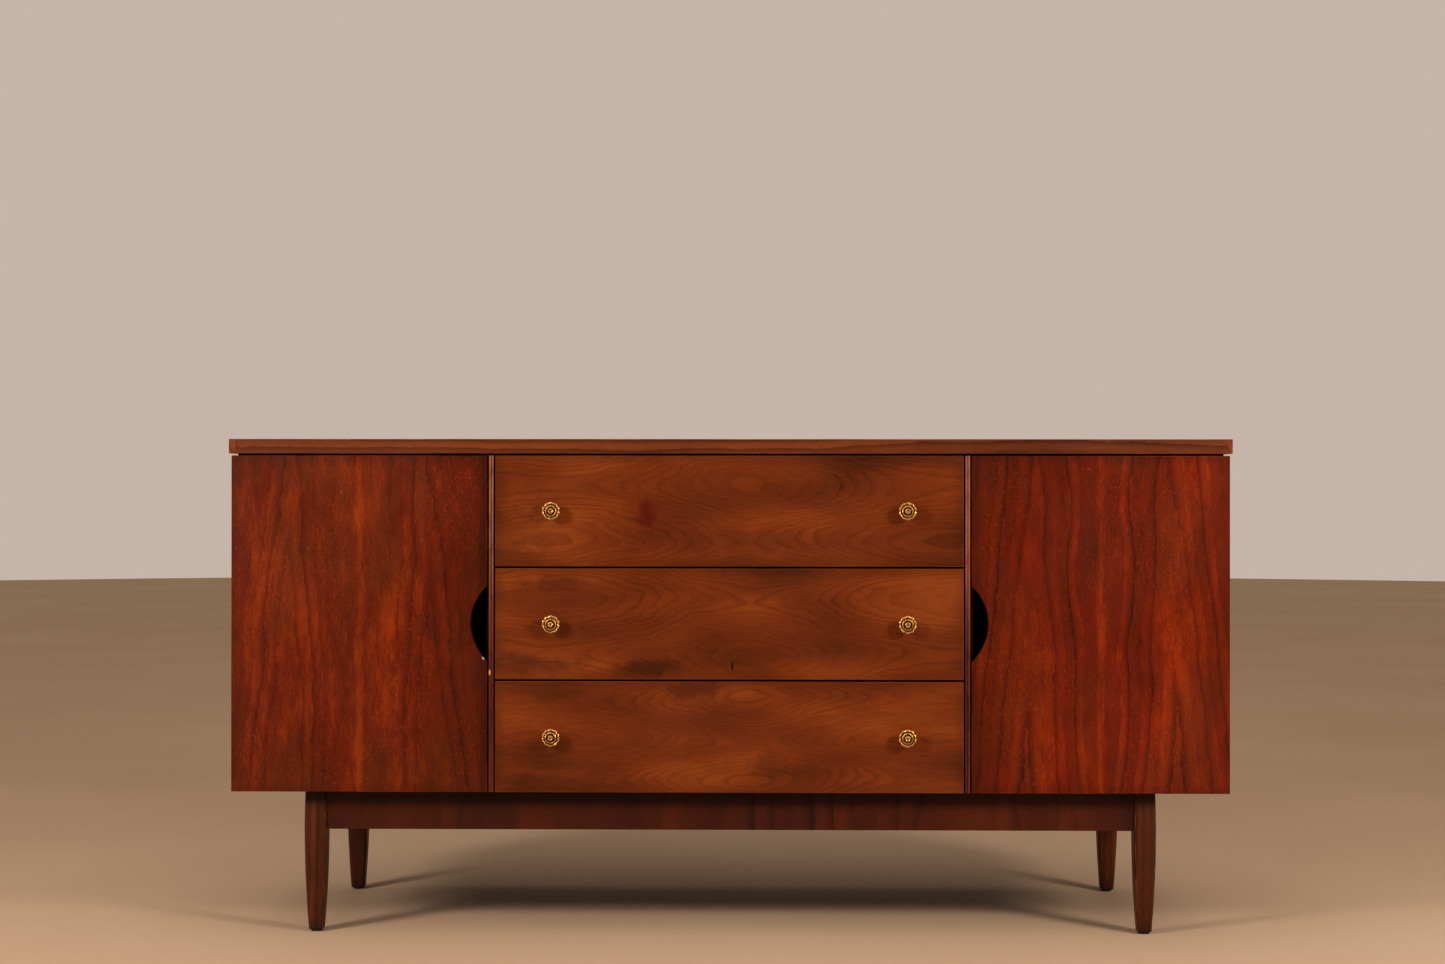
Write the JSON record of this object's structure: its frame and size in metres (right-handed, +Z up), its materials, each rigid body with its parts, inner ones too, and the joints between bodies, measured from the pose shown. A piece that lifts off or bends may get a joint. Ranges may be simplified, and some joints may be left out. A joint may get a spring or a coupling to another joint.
{
  "type": "dresser with drawers",
  "caption": "Low walnut dresser on a four-legged base: a hinged door with a half-moon finger pull at each end and a bank of drawers with rosette knobs between them.",
  "frame": {"origin": "on the floor, under the middle of the outer box, which the knobs make a little deeper than the top slab", "axes": "+X is the user's right when facing the front, the front with doors and drawers faces -Y, +Z is up"},
  "size_m": [1.524, 0.476, 0.756],
  "materials": {
    "slab_veneer": "satin lacquer over walnut veneer",
    "walnut": "satin lacquer over solid walnut",
    "door_veneer": "gloss lacquer over reddish walnut veneer",
    "drawer_veneer": "gloss lacquer over walnut veneer",
    "carcass": "thin lacquer",
    "leg_walnut": "dark satin lacquer",
    "black_stain": "matt black stain",
    "secondary_wood": "bare oak",
    "hardboard": "bare hardboard",
    "brass": "aged, lightly tarnished",
    "steel": "zinc plated",
    "catch_plastic": "brown moulded",
    "glide": "worn nail-on glide"
  },
  "bodies": {
    "case": {"top_panel": "slab_veneer", "top_front_edging": "walnut", "top_side_edgings": "walnut", "reveal_spacer": "black_stain", "left_end_panel": "slab_veneer", "right_end_panel": "slab_veneer", "left_partition": "carcass", "right_partition": "carcass", "case_bottom": "carcass", "front_top_rail": "carcass", "rear_top_rail": "carcass", "back_panel": "hardboard", "left_bead_strip": "walnut", "right_bead_strip": "walnut", "drawer_rails": "secondary_wood", "drawer_bearers": "secondary_wood", "drawer_guides": "secondary_wood", "left_shelf": "carcass", "right_shelf": "carcass", "shelf_pins": "brass", "front_apron": "leg_walnut", "rear_apron": "leg_walnut", "side_aprons": "leg_walnut", "corner_blocks": "secondary_wood", "front_left_leg": "leg_walnut", "front_right_leg": "leg_walnut", "rear_left_leg": "leg_walnut", "rear_right_leg": "leg_walnut", "foot_glides": "glide", "case_hinge_leaves": "brass", "hinge_pins": "brass", "door_catches": "catch_plastic", "back_panel_screws": "steel", "case_screws": "steel"},
    "left_door": {"left_door": "door_veneer", "left_door_hinge_leaves": "brass", "left_door_screws": "brass", "left_door_strike": "steel"},
    "right_door": {"right_door": "door_veneer", "right_door_hinge_leaves": "brass", "right_door_screws": "brass", "right_door_strike": "steel"},
    "bottom_drawer": {"bottom_drawer_front": "drawer_veneer", "bottom_drawer_sides": "secondary_wood", "bottom_drawer_ends": "secondary_wood", "bottom_drawer_bottom": "hardboard", "bottom_drawer_runners": "secondary_wood", "bottom_drawer_knobs": "brass"},
    "middle_drawer": {"middle_drawer_front": "drawer_veneer", "middle_drawer_sides": "secondary_wood", "middle_drawer_ends": "secondary_wood", "middle_drawer_bottom": "hardboard", "middle_drawer_runners": "secondary_wood", "middle_drawer_knobs": "brass"},
    "top_drawer": {"top_drawer_front": "drawer_veneer", "top_drawer_sides": "secondary_wood", "top_drawer_ends": "secondary_wood", "top_drawer_bottom": "hardboard", "top_drawer_runners": "secondary_wood", "top_drawer_knobs": "brass"}
  },
  "joints": [
    {"name": "left_door_hinge", "type": "hinge", "parent": "case", "child": "left_door", "pos_m": [-0.7586, -0.1962, 0.475], "axis": [0, 0, -1], "range_deg": [0, 125]},
    {"name": "right_door_hinge", "type": "hinge", "parent": "case", "child": "right_door", "pos_m": [0.7586, -0.1962, 0.475], "axis": [0, 0, 1], "range_deg": [0, 125]},
    {"name": "bottom_drawer_slide", "type": "slide", "parent": "case", "child": "bottom_drawer", "axis": [0, -1, 0], "range_m": [0, 0.31]},
    {"name": "middle_drawer_slide", "type": "slide", "parent": "case", "child": "middle_drawer", "axis": [0, -1, 0], "range_m": [0, 0.31]},
    {"name": "top_drawer_slide", "type": "slide", "parent": "case", "child": "top_drawer", "axis": [0, -1, 0], "range_m": [0, 0.31]}
  ]
}
